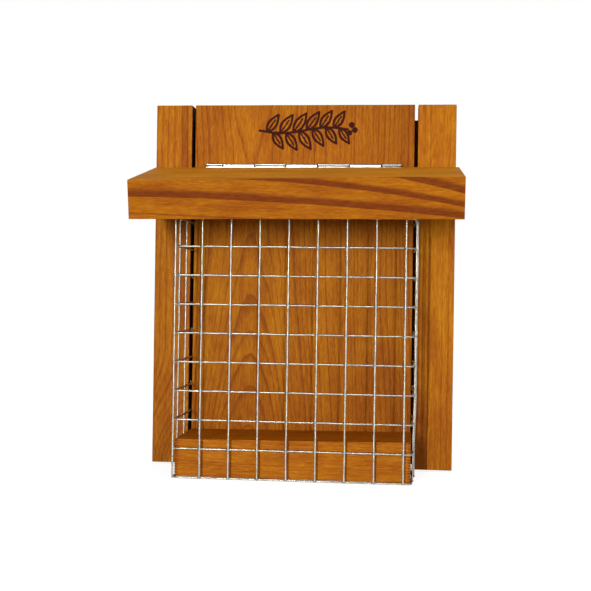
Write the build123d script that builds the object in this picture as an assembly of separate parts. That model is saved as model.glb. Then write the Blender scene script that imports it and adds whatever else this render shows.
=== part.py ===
"""Hanging bird feeder: a boarded back, a wire mesh food cage on a floor block, and a hinged sloping lid.

Everything is drawn in bench coordinates: X to the right, Y to the rear and Z up, with Y = 0 on the front
face of the back boards, Z = 0 on their bottom ends and X = 0 midway across them. The parts are then shifted
so that the origin is the centre of the hanger's keyhole, on the plane of the wall. Millimetres throughout.
"""
from build123d import *
from math import cos, radians, sin, tan
import os

# Back: three upright boards with a narrow gap between them, tied by a batten behind each gap
BACK_WIDTH = 284.0
BACK_HEIGHT = 341.0
BOARD_THICKNESS = 22.0
LEFT_STILE_WIDTH = 34.6
RIGHT_STILE_WIDTH = 35.6
BOARD_GAP = 3.0
BATTEN_THICKNESS = 9.0
BATTEN_WIDTH = 56.0
BATTEN_MARGIN_SIDE = 10.0
BATTEN_MARGIN_TOP = 11.0
BATTEN_MARGIN_BOTTOM = 1.5
EASED_EDGE = 0.8

LEFT_STILE_EDGE = LEFT_STILE_WIDTH - BACK_WIDTH / 2
RIGHT_STILE_EDGE = BACK_WIDTH / 2 - RIGHT_STILE_WIDTH
CENTRE_LEFT = LEFT_STILE_EDGE + BOARD_GAP
CENTRE_RIGHT = RIGHT_STILE_EDGE - BOARD_GAP
WALL_Y = BOARD_THICKNESS + BATTEN_THICKNESS

BATTEN_SCREW_Z = (36.0, 170.0, 304.0)
BATTEN_SCREW_INSET = 10.0

# Floor block, standing against the centre board
BLOCK_LEFT = -103.8
BLOCK_RIGHT = 103.2
BLOCK_HEIGHT = 34.0
BLOCK_DEPTH = 73.8

# Lid: a thick board that slopes down to the front and hangs over the cage on three sides
LID_LEFT = -142.1
LID_RIGHT = 144.9
LID_THICKNESS = 35.0
LID_FRONT_Y = -107.2
LID_FRONT_Z = 259.9
LID_SLOPE = 11.87

# Piano hinge between the lid's rear edge and the centre board, both leaves hanging down
HINGE_Z = 284.0
HINGE_LEFT = -93.0
KNUCKLE_ENDS = (-77.0, -47.0, -17.0, 13.0, 43.0, 73.0, 92.0)
LEAF_THICKNESS = 0.7
LEAF_DROP = 18.0
PIN_RADIUS = 1.0
PIN_PROUD = 0.3
FIXED_BORE_RADIUS = 1.02
LID_BORE_RADIUS = 1.06
BARREL_RADIUS = 1.7
KNUCKLE_CLEARANCE = 0.15
LEAF_NOTCH = 0.3
HINGE_SCREW_X = (-78.0, -26.0, 26.0, 78.0)
HINGE_SCREW_DROP = 10.5

HINGE_Y = -BARREL_RADIUS
LID_REAR_Y = -2 * BARREL_RADIUS

# Mesh cage: one welded square mesh of galvanised wire, bent round the block, uprights outside
WIRE_RADIUS = 0.9
PITCH = 25.4
WELDED_OFFSET = 1.5
CAGE_FRONT_Y = -79.8
FIRST_UPRIGHT_X = -81.0
FRONT_UPRIGHTS = 8
HOOPS = 10
LOWEST_HOOP_Z = -0.1
UPRIGHT_END = 1.1
CORNER_RADIUS = 4.0
CAGE_LEFT_FRONT_X = -104.8
CAGE_RIGHT_FRONT_X = 104.2
TUCK_DEPTH = 11.0
TUCK_SQUEEZE = 0.05
LEFT_UPRIGHT_Y = (-55.8, -30.4)
RIGHT_UPRIGHT_Y = (-62.9, -37.5, -12.1)
CORNER_UPRIGHT_ANGLE = 55.0

# Staples that pin the tucked mesh to the centre board's two edges
STAPLE_RADIUS = 0.5
STAPLE_Y = 6.0
STAPLE_LEG = 12.0
STAPLED_HOOPS = (1, 3, 5, 7, 9)

# Hanger: a bridged keyhole plate on the centre board, its middle raised to the wall to clear the screw
HANGER_Z = 296.0
PLATE_WIDTH = 20.0
PLATE_THICKNESS = 1.5
PLATE_BOTTOM = 257.0
PLATE_TOP = 335.0
BRIDGE_FOOT = 12.0
KEYHOLE_RADIUS = 4.5
SLOT_RADIUS = 2.2
SLOT_RISE = 12.0


def slab(x0, x1, y0, y1, z0, z1):
    """A plain box between two corners."""
    return Pos((x0 + x1) / 2, (y0 + y1) / 2, (z0 + z1) / 2) * Box(x1 - x0, y1 - y0, z1 - z0)


def eased(shape, radius=EASED_EDGE):
    """The shape with all its edges rounded, as sanded timber is."""
    return fillet(shape.edges(), radius)


def rod(start, end, radius):
    """A straight round rod."""
    line = Vector(*end) - Vector(*start)
    return Solid.make_cylinder(radius, line.length, Plane(origin=start, z_dir=line))


def swept_wire(path, radius):
    """A round wire along a path of straight runs and arcs."""
    return sweep(Plane(origin=path @ 0, z_dir=path % 0) * Circle(radius), path=path)


def screw(head, direction, shank, length, head_radius, head_height):
    """A countersunk wood screw: flat head with a cross recess, plain shank, pointed tip."""
    half = Polyline(
        (0, 0),
        (head_radius, 0),
        (shank, head_height),
        (shank, length - 2 * shank),
        (0, length),
        close=True,
    )
    profile = Plane.XZ * make_face(half)
    body = revolve(profile, Axis.Z)
    reach, width, depth = 1.3 * head_radius, 0.28 * head_radius, 0.5 * head_height
    body -= Box(reach, width, 2 * depth) + Box(width, reach, 2 * depth)
    return Plane(origin=head, z_dir=direction) * body


def countersink(head, direction, shank, head_radius, head_height, play):
    """The hole that a countersunk screw passes through."""
    half = Polyline(
        (0, -1),
        (head_radius + play, -1),
        (head_radius + play, 0),
        (shank + play, head_height),
        (shank + play, head_height + 4),
        (0, head_height + 4),
        close=True,
    )
    cutter = revolve(Plane.XZ * make_face(half), Axis.Z)
    return Plane(origin=head, z_dir=direction) * cutter


# ---- back -----------------------------------------------------------------------------------------------

def board(x0, x1):
    return eased(slab(x0, x1, 0, BOARD_THICKNESS, 0, BACK_HEIGHT))


def rear_batten(side):
    """The board behind one gap, screwed to the two boards that it joins."""
    outer = side * (BACK_WIDTH / 2 - BATTEN_MARGIN_SIDE)
    inner = outer - side * BATTEN_WIDTH
    top = BACK_HEIGHT - BATTEN_MARGIN_TOP
    left, right = min(outer, inner), max(outer, inner)
    return eased(slab(left, right, BOARD_THICKNESS, WALL_Y, BATTEN_MARGIN_BOTTOM, top))


def floor_block():
    return eased(slab(BLOCK_LEFT, BLOCK_RIGHT, -BLOCK_DEPTH, 0, 0, BLOCK_HEIGHT))


# ---- lid ------------------------------------------------------------------------------------------------

def roof_lid():
    """The lid's side view, a parallelogram with an upright rear edge, drawn out to its width."""
    slope = radians(LID_SLOPE)
    rise = (LID_REAR_Y - LID_FRONT_Y) * tan(slope)
    top_rear = (LID_REAR_Y, LID_FRONT_Z + rise)
    bottom_rear = (LID_REAR_Y, top_rear[1] - LID_THICKNESS / cos(slope))
    bottom_front = (LID_FRONT_Y + LID_THICKNESS * sin(slope), LID_FRONT_Z - LID_THICKNESS * cos(slope))
    side = Polyline((LID_FRONT_Y, LID_FRONT_Z), top_rear, bottom_rear, bottom_front, close=True)
    face = Plane(origin=(LID_LEFT, 0, 0), x_dir=(0, 1, 0), z_dir=(1, 0, 0)) * make_face(side)
    return eased(extrude(face, LID_RIGHT - LID_LEFT, dir=(1, 0, 0)))


# ---- hinge ------------------------------------------------------------------------------------------------

def knuckle_spans():
    """(from, to) along X of each knuckle, left to right, with the clearance between neighbours taken off."""
    starts = (HINGE_LEFT,) + KNUCKLE_ENDS[:-1]
    return [(a + KNUCKLE_CLEARANCE, b - KNUCKLE_CLEARANCE) for a, b in zip(starts, KNUCKLE_ENDS)]


def hinge_leaf(inner_y, outer_y, spans, bore, screw_face_y, direction):
    """A flat leaf below the barrel, with its own knuckles on its outer face, and countersunk holes."""
    low_y, high_y = min(inner_y, outer_y), max(inner_y, outer_y)
    shoulder = HINGE_Z - BARREL_RADIUS - LEAF_NOTCH
    leaf = slab(HINGE_LEFT, KNUCKLE_ENDS[-1], low_y, high_y, HINGE_Z - LEAF_DROP, shoulder)
    for start, end in spans:
        leaf += slab(start, end, low_y, high_y, shoulder - 1, HINGE_Z)
        leaf += rod((start, HINGE_Y, HINGE_Z), (end, HINGE_Y, HINGE_Z), BARREL_RADIUS)
    for start, end in spans:
        leaf -= rod((start - 1, HINGE_Y, HINGE_Z), (end + 1, HINGE_Y, HINGE_Z), bore)
    for x in HINGE_SCREW_X:
        head = (x, screw_face_y, HINGE_Z - HINGE_SCREW_DROP)
        leaf -= countersink(head, direction, 1.3, 2.5, 1.3, 0.1)
    return leaf


def hinge_screws(face_y, direction, length):
    return [
        screw((x, face_y, HINGE_Z - HINGE_SCREW_DROP), direction, 1.3, length, 2.5, 1.3)
        for x in HINGE_SCREW_X
    ]


# ---- cage -----------------------------------------------------------------------------------------------

def hoop_front_y():
    return CAGE_FRONT_Y + WELDED_OFFSET


def tucked_x(side):
    """X of a wire lying against the centre board's edge, inside the gap."""
    edge = CENTRE_LEFT if side < 0 else CENTRE_RIGHT
    return edge + side * (WIRE_RADIUS + TUCK_SQUEEZE)


def hoop(z):
    """One wire round three sides of the cage, its ends tucked into the two gaps of the back."""
    left, right = tucked_x(-1), tucked_x(1)
    path = FilletPolyline(
        (left, TUCK_DEPTH, z),
        (CAGE_LEFT_FRONT_X, hoop_front_y(), z),
        (CAGE_RIGHT_FRONT_X, hoop_front_y(), z),
        (right, TUCK_DEPTH, z),
        radius=CORNER_RADIUS,
    )
    return swept_wire(path, WIRE_RADIUS)


def side_x(side, y):
    """X of the uprights' line down one side of the cage, outside the hoops."""
    front = CAGE_LEFT_FRONT_X if side < 0 else CAGE_RIGHT_FRONT_X
    share = (y - hoop_front_y()) / (TUCK_DEPTH - hoop_front_y())
    return front + share * (tucked_x(side) - front) + side * WELDED_OFFSET


def upright(x, y):
    top = LOWEST_HOOP_Z + (HOOPS - 1) * PITCH + UPRIGHT_END
    return rod((x, y, LOWEST_HOOP_Z - UPRIGHT_END), (x, y, top), WIRE_RADIUS)


def front_uprights():
    return [upright(FIRST_UPRIGHT_X + i * PITCH, CAGE_FRONT_Y) for i in range(FRONT_UPRIGHTS)]


def corner_upright():
    """The upright that falls in the cage's left front bend."""
    angle, reach = radians(CORNER_UPRIGHT_ANGLE), CORNER_RADIUS + WELDED_OFFSET
    x = CAGE_LEFT_FRONT_X + CORNER_RADIUS - reach * sin(angle)
    y = hoop_front_y() + CORNER_RADIUS - reach * cos(angle)
    return upright(x, y)


def staple(side, hoop_index):
    """A wire staple astride a tucked hoop, its legs driven into the centre board's edge."""
    crown_x = tucked_x(side) + side * (WIRE_RADIUS + STAPLE_RADIUS + TUCK_SQUEEZE)
    z = LOWEST_HOOP_Z + hoop_index * PITCH
    half = WIRE_RADIUS + STAPLE_RADIUS + 2 * TUCK_SQUEEZE
    inside_x = crown_x - side * STAPLE_LEG
    path = FilletPolyline(
        (inside_x, STAPLE_Y, z - half),
        (crown_x, STAPLE_Y, z - half),
        (crown_x, STAPLE_Y, z + half),
        (inside_x, STAPLE_Y, z + half),
        radius=0.8,
    )
    return swept_wire(path, STAPLE_RADIUS)


# ---- hanger -----------------------------------------------------------------------------------------------

def hanger_plate():
    """Bridged keyhole plate: two feet, and a raised middle with a round entry and a narrow slot above it."""
    thick, rise = PLATE_THICKNESS, WALL_Y - BOARD_THICKNESS - PLATE_THICKNESS
    bend = thick * tan(radians(22.5))
    foot_y, bridge_y = BOARD_THICKNESS, WALL_Y - thick
    low, high = PLATE_BOTTOM + BRIDGE_FOOT, PLATE_TOP - BRIDGE_FOOT
    side = Polyline(
        (foot_y, PLATE_BOTTOM),
        (foot_y + thick, PLATE_BOTTOM),
        (foot_y + thick, low),
        (WALL_Y, low + rise),
        (WALL_Y, high - rise),
        (foot_y + thick, high),
        (foot_y + thick, PLATE_TOP),
        (foot_y, PLATE_TOP),
        (foot_y, high - bend),
        (bridge_y, high - rise - bend),
        (bridge_y, low + rise + bend),
        (foot_y, low + bend),
        close=True,
    )
    face = Plane(origin=(-PLATE_WIDTH / 2, 0, 0), x_dir=(0, 1, 0), z_dir=(1, 0, 0)) * make_face(side)
    plate = extrude(face, PLATE_WIDTH, dir=(1, 0, 0))
    slot_top = HANGER_Z + SLOT_RISE
    start, end = bridge_y - 1, WALL_Y + 1
    plate -= rod((0, start, HANGER_Z), (0, end, HANGER_Z), KEYHOLE_RADIUS)
    plate -= rod((0, start, slot_top), (0, end, slot_top), SLOT_RADIUS)
    plate -= slab(-SLOT_RADIUS, SLOT_RADIUS, start, end, HANGER_Z, slot_top)
    for z in hanger_screw_heights():
        plate -= countersink((0, foot_y + thick, z), (0, -1, 0), 1.5, 2.9, 1.4, 0.1)
    return plate


def hanger_screw_heights():
    return (PLATE_BOTTOM + BRIDGE_FOOT / 2, PLATE_TOP - BRIDGE_FOOT / 2)


def hanger_screws():
    face = BOARD_THICKNESS + PLATE_THICKNESS
    return [screw((0, face, z), (0, -1, 0), 1.5, 14.0, 2.9, 1.4) for z in hanger_screw_heights()]


def batten_screws(columns):
    """Screws driven forwards through the battens, in rows up the given columns."""
    return [screw((x, WALL_Y, z), (0, -1, 0), 1.9, 26.0, 3.9, 2.6) for x in columns for z in BATTEN_SCREW_Z]


def build():
    """Every node of the feeder, by name: a list of its separate solids."""
    half = BACK_WIDTH / 2
    spans = knuckle_spans()
    fixed_spans, lid_spans = spans[0::2], spans[1::2]
    fixed_face, lid_face = -LEAF_THICKNESS, LID_REAR_Y + LEAF_THICKNESS
    stile_middles = ((LEFT_STILE_EDGE - half) / 2, (RIGHT_STILE_EDGE + half) / 2)
    batten_inner = half - BATTEN_MARGIN_SIDE - BATTEN_WIDTH + BATTEN_SCREW_INSET
    return {
        "left_stile": [board(-half, LEFT_STILE_EDGE)],
        "centre_back_board": [board(CENTRE_LEFT, CENTRE_RIGHT)],
        "right_stile": [board(RIGHT_STILE_EDGE, half)],
        "rear_batten_left": [rear_batten(-1)],
        "rear_batten_right": [rear_batten(1)],
        "stile_screws": batten_screws(stile_middles),
        "centre_board_screws": batten_screws((-batten_inner, batten_inner)),
        "floor_block": [floor_block()],
        "floor_block_screws": [
            screw((x, BOARD_THICKNESS - 0.5, BLOCK_HEIGHT / 2), (0, -1, 0), 2.0, 55.0, 4.1, 2.8)
            for x in (-60.0, 0.0, 60.0)
        ],
        "roof_lid": [roof_lid()],
        "hinge_fixed_leaf": [
            hinge_leaf(fixed_face, 0, fixed_spans, FIXED_BORE_RADIUS, fixed_face, (0, 1, 0))
        ],
        "hinge_lid_leaf": [
            hinge_leaf(lid_face, LID_REAR_Y, lid_spans, LID_BORE_RADIUS, lid_face, (0, -1, 0))
        ],
        "hinge_pin": [
            rod(
                (HINGE_LEFT - PIN_PROUD, HINGE_Y, HINGE_Z),
                (KNUCKLE_ENDS[-1] + PIN_PROUD, HINGE_Y, HINGE_Z),
                PIN_RADIUS,
            )
        ],
        "hinge_fixed_leaf_screws": hinge_screws(fixed_face, (0, 1, 0), 15.0),
        "hinge_lid_leaf_screws": hinge_screws(lid_face, (0, -1, 0), 15.0),
        "cage_hoops": [hoop(LOWEST_HOOP_Z + j * PITCH) for j in range(HOOPS)],
        "cage_front_uprights": front_uprights(),
        "cage_corner_upright": [corner_upright()],
        "cage_left_uprights": [upright(side_x(-1, y), y) for y in LEFT_UPRIGHT_Y],
        "cage_right_uprights": [upright(side_x(1, y), y) for y in RIGHT_UPRIGHT_Y],
        "cage_staples_left": [staple(-1, j) for j in STAPLED_HOOPS],
        "cage_staples_right": [staple(1, j) for j in STAPLED_HOOPS],
        "hanger_plate": [hanger_plate()],
        "hanger_screws": hanger_screws(),
    }


def main():
    os.makedirs("parts", exist_ok=True)
    to_hanger = Location((0, -WALL_Y, -HANGER_Z))
    for name, solids in build().items():
        flat = [s for shape in solids for s in shape.solids()]
        shape = flat[0] if len(flat) == 1 else Compound(children=flat)
        export_step(to_hanger * shape, f"parts/{name}.step")


main()
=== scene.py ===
"""Looks of the bird feeder: worn oiled boards, galvanised welded mesh, zinc-plated hinge and screws.

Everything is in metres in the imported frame. Bench millimetres, used for the wood's figure and for small
sizes, have their origin at the foot of the back boards' front face.
"""
import math

import bmesh
import bpy
from mathutils import Matrix, Vector, noise


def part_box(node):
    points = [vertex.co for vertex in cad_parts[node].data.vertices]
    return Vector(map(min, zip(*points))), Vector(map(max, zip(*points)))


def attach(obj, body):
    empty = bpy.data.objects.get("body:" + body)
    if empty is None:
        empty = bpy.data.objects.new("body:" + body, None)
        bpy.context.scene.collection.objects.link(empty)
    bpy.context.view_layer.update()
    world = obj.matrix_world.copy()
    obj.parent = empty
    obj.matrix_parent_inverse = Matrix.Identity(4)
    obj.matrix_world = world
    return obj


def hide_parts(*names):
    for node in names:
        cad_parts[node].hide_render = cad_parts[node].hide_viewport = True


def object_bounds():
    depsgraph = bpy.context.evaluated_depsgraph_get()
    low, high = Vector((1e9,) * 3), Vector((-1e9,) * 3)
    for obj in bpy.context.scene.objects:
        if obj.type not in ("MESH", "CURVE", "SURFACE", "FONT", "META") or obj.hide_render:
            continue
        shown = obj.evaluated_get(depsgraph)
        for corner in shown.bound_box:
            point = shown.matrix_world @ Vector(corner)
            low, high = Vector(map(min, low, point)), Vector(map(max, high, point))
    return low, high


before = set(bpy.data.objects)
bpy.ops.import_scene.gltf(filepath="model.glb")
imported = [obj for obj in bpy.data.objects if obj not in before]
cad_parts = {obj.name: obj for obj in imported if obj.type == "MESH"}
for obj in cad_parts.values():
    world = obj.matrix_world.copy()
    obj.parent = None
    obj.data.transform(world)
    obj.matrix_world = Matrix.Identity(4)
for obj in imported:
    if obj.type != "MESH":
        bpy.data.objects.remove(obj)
cad_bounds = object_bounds()

MM = 0.001
BOARD_LOW, BOARD_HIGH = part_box("centre_back_board")
BENCH = Vector((0.0, BOARD_LOW.y, BOARD_LOW.z))


def bench(x, y, z):
    """A point given in bench millimetres."""
    return BENCH + Vector((x, y, z)) * MM


def smooth(edge0, edge1, value):
    """0 up to edge0 and 1 from edge1, smooth between. The edges may fall."""
    t = min(1.0, max(0.0, (value - edge0) / (edge1 - edge0)))
    return t * t * (3.0 - 2.0 * t)


def wander(x, y, z, scale, seed):
    """Smooth noise, about -1 to 1, at a point in metres, with features of about the given size."""
    return noise.noise(Vector((x, y, z)) / scale + Vector((seed * 7.31, seed * 3.17, seed * 1.93)))


# ---- node graphs ------------------------------------------------------------------------------------------

class Graph:
    """Short names for building a material's nodes. Inputs are numbers, tuples or other nodes' sockets."""

    def __init__(self, name):
        self.material = bpy.data.materials.new(name)
        self.material.use_nodes = True
        self.tree = self.material.node_tree
        self.shader = next(n for n in self.tree.nodes if n.type == "BSDF_PRINCIPLED")

    def put(self, socket, value):
        if isinstance(value, bpy.types.NodeSocket):
            self.tree.links.new(value, socket)
        elif isinstance(value, tuple) and len(value) == 3 and socket.type == "RGBA":
            socket.default_value = (*value, 1.0)
        else:
            socket.default_value = value

    def node(self, kind, inputs, **settings):
        made = self.tree.nodes.new(kind)
        for key, value in settings.items():
            setattr(made, key, value)
        for key, value in inputs.items():
            self.put(made.inputs[key], value)
        return made

    def math(self, operation, *values):
        made = self.tree.nodes.new("ShaderNodeMath")
        made.operation = operation
        for socket, value in zip(made.inputs, values):
            self.put(socket, value)
        return made.outputs[0]

    def add(self, a, b):
        return self.math("ADD", a, b)

    def sub(self, a, b):
        return self.math("SUBTRACT", a, b)

    def mul(self, a, b):
        return self.math("MULTIPLY", a, b)

    def axes(self, vector):
        split = self.node("ShaderNodeSeparateXYZ", {"Vector": vector})
        return split.outputs[0], split.outputs[1], split.outputs[2]

    def vector(self, x, y, z):
        return self.node("ShaderNodeCombineXYZ", {"X": x, "Y": y, "Z": z}).outputs[0]

    def step(self, edge0, edge1, value):
        """0 up to edge0 and 1 from edge1, smooth between. The edges may fall."""
        made = self.node(
            "ShaderNodeMapRange",
            {"Value": value, "From Min": edge0, "From Max": edge1},
            interpolation_type="SMOOTHSTEP",
        )
        return made.outputs["Result"]

    def noise(self, vector, scale, detail=2.0, roughness=0.5):
        inputs = {"Vector": vector, "Scale": scale, "Detail": detail, "Roughness": roughness}
        return self.node("ShaderNodeTexNoise", inputs).outputs["Fac"]

    def signed_noise(self, vector, scale, detail=2.0):
        return self.sub(self.mul(self.noise(vector, scale, detail), 2.0), 1.0)

    def random(self, value):
        made = self.node("ShaderNodeTexWhiteNoise", {"W": value}, noise_dimensions="1D")
        return made.outputs["Value"]

    def mix(self, factor, a, b, blend="MIX"):
        made = self.tree.nodes.new("ShaderNodeMix")
        made.data_type = "RGBA"
        made.blend_type = blend
        self.put(made.inputs["Factor"], factor)
        self.put(made.inputs["A"], a)
        self.put(made.inputs["B"], b)
        return made.outputs["Result"]

    def blend(self, factor, a, b):
        """The number a, turning into b."""
        made = self.tree.nodes.new("ShaderNodeMix")
        made.data_type = "FLOAT"
        self.put(made.inputs["Factor"], factor)
        self.put(made.inputs["A"], a)
        self.put(made.inputs["B"], b)
        return made.outputs["Result"]

    def ramp(self, factor, stops):
        made = self.node("ShaderNodeValToRGB", {"Fac": factor})
        elements = made.color_ramp.elements
        while len(elements) < len(stops):
            elements.new(0.5)
        for element, (position, colour) in zip(elements, stops):
            element.position = position
            element.color = (*colour, 1.0)
        return made.outputs["Color"]

    def bump(self, height, strength, distance):
        made = self.node("ShaderNodeBump", {"Height": height, "Strength": strength, "Distance": distance})
        self.put(self.shader.inputs["Normal"], made.outputs[0])

    def finish(self, **inputs):
        for key, value in inputs.items():
            self.put(self.shader.inputs[key.replace("_", " ")], value)
        return self.material


def bench_position(g):
    """The surface point in bench millimetres."""
    coordinates = g.node("ShaderNodeTexCoord", {}).outputs["Object"]
    moved = g.node("ShaderNodeVectorMath", {0: coordinates, 1: tuple(BENCH)}, operation="SUBTRACT")
    scaled = g.node("ShaderNodeVectorMath", {0: moved.outputs[0], "Scale": 1.0 / MM}, operation="SCALE")
    return scaled.outputs[0]


# ---- wood -------------------------------------------------------------------------------------------------

EARLY = (0.43, 0.146, 0.0025)
EARLY_PALE = (0.52, 0.203, 0.005)
EARLY_DEEP = (0.34, 0.098, 0.002)
EARLY_BLEACHED = (0.79, 0.37, 0.022)
# Tint of the painted shade ramps, which darken boards towards their foot, the centre board's right side and
# its top.
SHADE_RAMP_TINT = (0.62, 0.50, 0.50)
LATE = (0.170, 0.030, 0.0025)
CHAR = (0.040, 0.010, 0.006)
# Painted shade for the sides of the gaps between the boards.
GAP_SHADE = (0.020, 0.010, 0.007)
END_GRAIN = (0.28, 0.085, 0.006)
END_DOTS = ((0.25, (0.6, 0.55, 0.5)), (0.8, (1.2, 1.2, 1.2)))


def tree_rings(g, across, through, spacing, uneven, drift):
    """How many rings lie between the pith and a point, given its distances from the pith in millimetres."""
    radius = g.math("SQRT", g.add(g.mul(across, across), g.mul(through, through)))
    slow = g.signed_noise(g.vector(radius, drift, 0.0), 0.075, 2.0)
    return g.add(g.mul(radius, 1.0 / spacing), g.mul(slow, uneven))


def ring_darkness(g, count, width, crisp=0.97):
    """Latewood, which darkens slowly outward through each ring and stops sharply, more in some rings."""
    index = g.math("FLOOR", count)
    depth = g.sub(count, index)
    strength = g.blend(g.random(index), 0.25, 1.0)
    start = g.sub(1.0, g.mul(g.blend(g.random(g.add(index, 0.37)), 0.6, 1.35), width))
    rise = g.step(start, crisp, depth)
    fall = g.step(1.0, crisp + 0.01, depth)
    return g.mul(g.mul(rise, fall), strength)


def wood(name, grain_axis, figure, seed, end_axis, tone=(1.0, 1.0, 1.0), late_strength=0.8, pale=0.5,
         ring_bump=1.0, char=False, crown=0.0, painted_shade_ramps=(), painted_gap_shade=0.0):
    """Oiled softwood. figure(g, x, y, z, warp) gives the latewood's darkness from bench millimetres.

    char burns the mark in, crown bleaches what faces up, the gap shade amount paints shade on the sides of
    the gaps between the boards, and each ramp of painted shade is an axis, a start and an end along it, and
    an amount.
    """
    g = Graph(name)
    position = bench_position(g)
    x, y, z = g.axes(position)
    own_place = (seed * 91.0, seed * 37.0, seed * 53.0)
    sx, sy, sz = g.axes(g.node("ShaderNodeVectorMath", {0: position, 1: own_place}).outputs[0])
    along, cross, third = (sz, sx, sy) if grain_axis == "Z" else (sx, sz, sy)
    slow = g.vector(g.mul(cross, 0.022), g.mul(third, 0.022), g.mul(along, 0.006))
    warp = g.signed_noise(slow, 1.0, 2.0)
    late = figure(g, x, y, z, warp)

    fibre_at = g.vector(cross, third, g.mul(along, 0.13))
    fibre = g.noise(fibre_at, 0.95, 4.0, 0.68)
    coarse = g.noise(g.vector(g.mul(cross, 0.25), g.mul(third, 0.25), g.mul(along, 0.012)), 1.0, 2.0, 0.55)
    blotch = g.noise(g.vector(g.mul(cross, 0.05), g.mul(third, 0.05), g.mul(along, 0.018)), 1.0, 2.0, 0.5)
    pore_at = g.vector(g.mul(cross, 1.5), g.mul(third, 1.5), g.mul(along, 0.20))
    pores = g.step(0.60, 0.74, g.noise(pore_at, 1.0, 2.0, 0.6))

    base = g.mix(g.step(0.30, 0.70, blotch), EARLY_DEEP, EARLY)
    base = g.mix(g.mul(g.step(0.42, 0.75, coarse), pale), base, EARLY_PALE)
    darkened = g.mix(g.mul(late, late_strength), base, LATE)
    streak = g.blend(g.step(0.25, 0.75, fibre), 0.80, 1.17)
    tinted = g.mix(1.0, darkened, g.vector(streak, g.mul(streak, streak), g.math("POWER", streak, 2.6)),
                   "MULTIPLY")
    tinted = g.mix(g.mul(pores, 0.26), tinted, LATE)
    tinted = g.mix(1.0, tinted, tuple(tone), "MULTIPLY")
    # Painted shade: each ramp darkens the wood towards one end of an axis, by its amount.
    for axis, start, end, amount in painted_shade_ramps:
        toward = g.mul(g.step(start, end, x if axis == "X" else z), amount)
        tinted = g.mix(toward, tinted, g.mix(1.0, tinted, SHADE_RAMP_TINT, "MULTIPLY"))
    height = g.add(g.mul(fibre, 0.9), g.mul(late, 0.5 * ring_bump))
    rough = g.blend(fibre, 0.58, 0.46)

    if crown:
        upward = g.axes(g.node("ShaderNodeNewGeometry", {}).outputs["True Normal"])[2]
        weathered = g.noise(g.vector(g.mul(cross, 0.05), g.mul(third, 0.05), g.mul(along, 0.016)), 1.0, 3.0)
        shade = g.mul(streak, g.blend(g.step(0.35, 0.65, weathered), 0.86, 1.14))
        bleached = g.mix(1.0, EARLY_BLEACHED, g.vector(shade, shade, shade), "MULTIPLY")
        bare = g.sub(1.0, g.mul(g.math("MAXIMUM", late, g.sub(0.9, g.mul(coarse, 1.3))), 0.7))
        tinted = g.mix(g.mul(g.mul(g.step(0.6, 0.9, upward), crown), bare), tinted, bleached)

    normal = g.node("ShaderNodeNewGeometry", {}).outputs["True Normal"]
    facing = g.math("ABSOLUTE", g.axes(normal)[0 if end_axis == "X" else 2])
    end = g.step(0.75, 0.95, facing)
    end_dots = g.noise(position, 2.2, 2.0, 0.7)
    end_colour = g.mix(g.mul(late, 0.75), END_GRAIN, LATE)
    end_colour = g.mix(1.0, end_colour, g.ramp(end_dots, END_DOTS), "MULTIPLY")
    tinted = g.mix(g.mul(end, 0.85), tinted, end_colour)
    rough = g.blend(end, rough, 0.72)
    height = g.blend(end, height, end_dots)

    # Painted shade: the sideways faces of the gaps between the boards are darkened as though in shadow.
    if painted_gap_shade:
        sideways = g.math("ABSOLUTE", g.axes(g.node("ShaderNodeNewGeometry", {}).outputs["True Normal"])[0])
        inner = g.mul(g.step(0.5, 0.9, sideways), g.step(124.0, 118.0, g.math("ABSOLUTE", x)))
        tinted = g.mix(g.mul(inner, painted_gap_shade), tinted, GAP_SHADE)
    if char:
        burnt = g.node("ShaderNodeAttribute", {}, attribute_name="burnt").outputs["Fac"]
        ragged = g.add(burnt, g.mul(g.sub(fibre, 0.5), 0.30))
        scorched = g.step(0.06, 0.55, ragged)
        tinted = g.mix(g.mul(scorched, 0.55), tinted, LATE)
        tinted = g.mix(g.step(0.38, 0.62, ragged), tinted, CHAR)
        rough = g.blend(scorched, rough, 0.8)
    g.bump(height, 0.35, 0.0004)
    return g.finish(Base_Color=tinted, Roughness=rough, Specular_IOR_Level=0.05)


def centre_board_figure(g, x, y, z, warp):
    """Flat-sawn arches left of the middle, which open out into straight lines to the right."""
    high = g.sub(z, 250.0)
    depth = g.add(g.sub(42.0, g.mul(g.mul(high, high), 0.00058)), y)
    across = g.add(g.add(x, 50.0), g.mul(warp, 6.0))
    wavy = g.mul(g.signed_noise(g.vector(g.mul(x, 0.05), y, g.mul(z, 0.02)), 1.0), 1.5)
    return ring_darkness(g, tree_rings(g, across, g.add(depth, wavy), 4.1, 1.1, 3.0), 0.48)


def upright_lines(g, value, lines):
    """Strong narrow latewood lines, each a place, a width and a darkness, that fade out to the left."""
    dark = 0.0
    for place, width, strength in lines:
        line = g.mul(g.step(place - width, place - 0.3 * width, value), g.step(place + 0.45, place, value))
        dark = g.math("MAXIMUM", dark, g.mul(line, strength))
    return dark


def left_stile_figure(g, x, y, z, warp):
    """Straight upright lines that swing over to the right near the foot."""
    low = g.math("MAXIMUM", g.sub(118.0, z), 0.0)
    depth = g.add(g.sub(44.0, g.mul(g.mul(low, low), 0.0028)), y)
    across = g.add(g.add(x, 104.0), g.mul(warp, 5.0))
    rings = g.mul(ring_darkness(g, tree_rings(g, across, depth, 3.3, 0.8, 11.0), 0.6), 0.75)
    lines = upright_lines(
        g, g.add(x, g.mul(warp, 2.2)),
        ((-136.4, 1.8, 0.5), (-130.0, 1.5, 0.3), (-124.2, 2.0, 0.5), (-116.6, 2.2, 0.8), (-111.8, 2.4, 0.9)),
    )
    return g.math("MAXIMUM", rings, g.mul(lines, g.step(95.0, 150.0, z)))


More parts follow.
